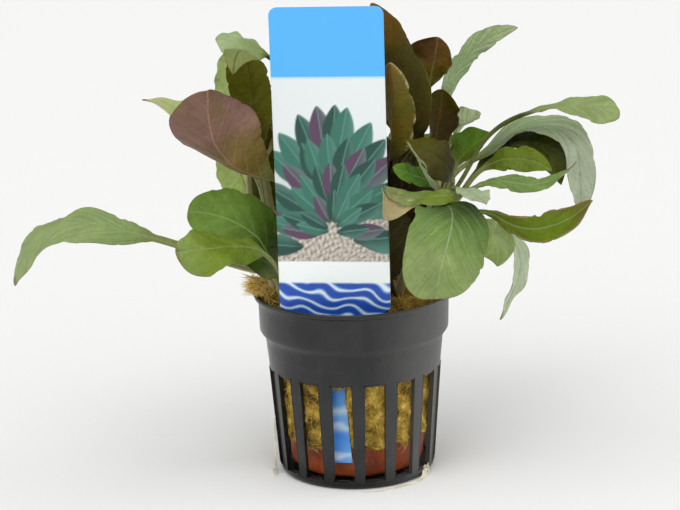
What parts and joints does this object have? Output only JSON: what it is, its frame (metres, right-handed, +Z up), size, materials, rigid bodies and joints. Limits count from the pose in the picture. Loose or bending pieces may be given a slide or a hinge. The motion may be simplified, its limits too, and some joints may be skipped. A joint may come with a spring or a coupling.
{
  "type": "potted cardinal flower",
  "caption": "Leafy cardinal flower for ponds and aquariums, rooted in mineral wool in a round net pot, with a flat plant label standing at its front.",
  "frame": {"origin": "centre of the pot's underside, on the surface it stands on", "axes": "+Z up the plant, +X to the right as seen from the label's printed face, which faces -Y"},
  "size_m": [0.1623, 0.1029, 0.1333],
  "materials": {
    "pot_plastic": "satin, a little dusty",
    "wool": "matt mineral fibres",
    "clay": "matt fired clay",
    "label_card": "printed, semi-gloss",
    "stem_green": "fresh plant stem",
    "leaf_green": "fresh leaf, soft sheen",
    "leaf_bright": "fresh young leaf, soft sheen",
    "leaf_grey": "fresh leaf, grey-green sheen",
    "leaf_olive": "fresh leaf seen from its dark underside",
    "leaf_purple": "fresh leaf with a purple-brown underside",
    "root_fibre": "thin pale root"
  },
  "bodies": {
    "root": {"net_pot": "pot_plastic", "wool_plug": "wool", "clay_ring": "clay", "plant_label": "label_card", "stem_left": "stem_green", "stem_left_back": "stem_green", "stem_middle": "stem_green", "stem_right": "stem_green", "stem_back": "stem_green", "leaf_left_long": "leaf_green", "leaf_left_low": "leaf_green", "leaf_left_middle": "leaf_green", "leaf_left_purple": "leaf_purple", "leaf_left_olive": "leaf_olive", "leaf_left_pale": "leaf_bright", "leaf_top_left": "leaf_green", "leaf_left_tip": "leaf_olive", "leaf_left_behind": "leaf_grey", "leaf_tall_brown": "leaf_olive", "leaf_label_side": "leaf_purple", "leaf_top_brown": "leaf_olive", "leaf_upper_right": "leaf_grey", "leaf_right_sliver": "leaf_grey", "leaf_brown_small": "leaf_olive", "leaf_olive_middle": "leaf_olive", "leaf_bright_back": "leaf_bright", "leaf_arch": "leaf_grey", "leaf_arch_inner": "leaf_olive", "leaf_right_high": "leaf_green", "leaf_right_grey": "leaf_grey", "leaf_right_pointed": "leaf_green", "leaf_right_long": "leaf_bright", "leaf_front_big": "leaf_green", "leaf_over_label": "leaf_olive", "leaf_bright_small": "leaf_bright", "leaf_toward_viewer": "leaf_grey", "leaf_low_right": "leaf_bright", "leaf_drooping": "leaf_grey", "leaf_dark_low": "leaf_olive", "leaf_back_left": "leaf_green", "leaf_back_left_low": "leaf_green", "leaf_back_middle": "leaf_green", "leaf_back_tall": "leaf_green", "leaf_back_low": "leaf_green", "leaf_back_right": "leaf_green", "leaf_back_fold": "leaf_green", "roots_left": "root_fibre", "roots_right": "root_fibre"}
  },
  "joints": []
}
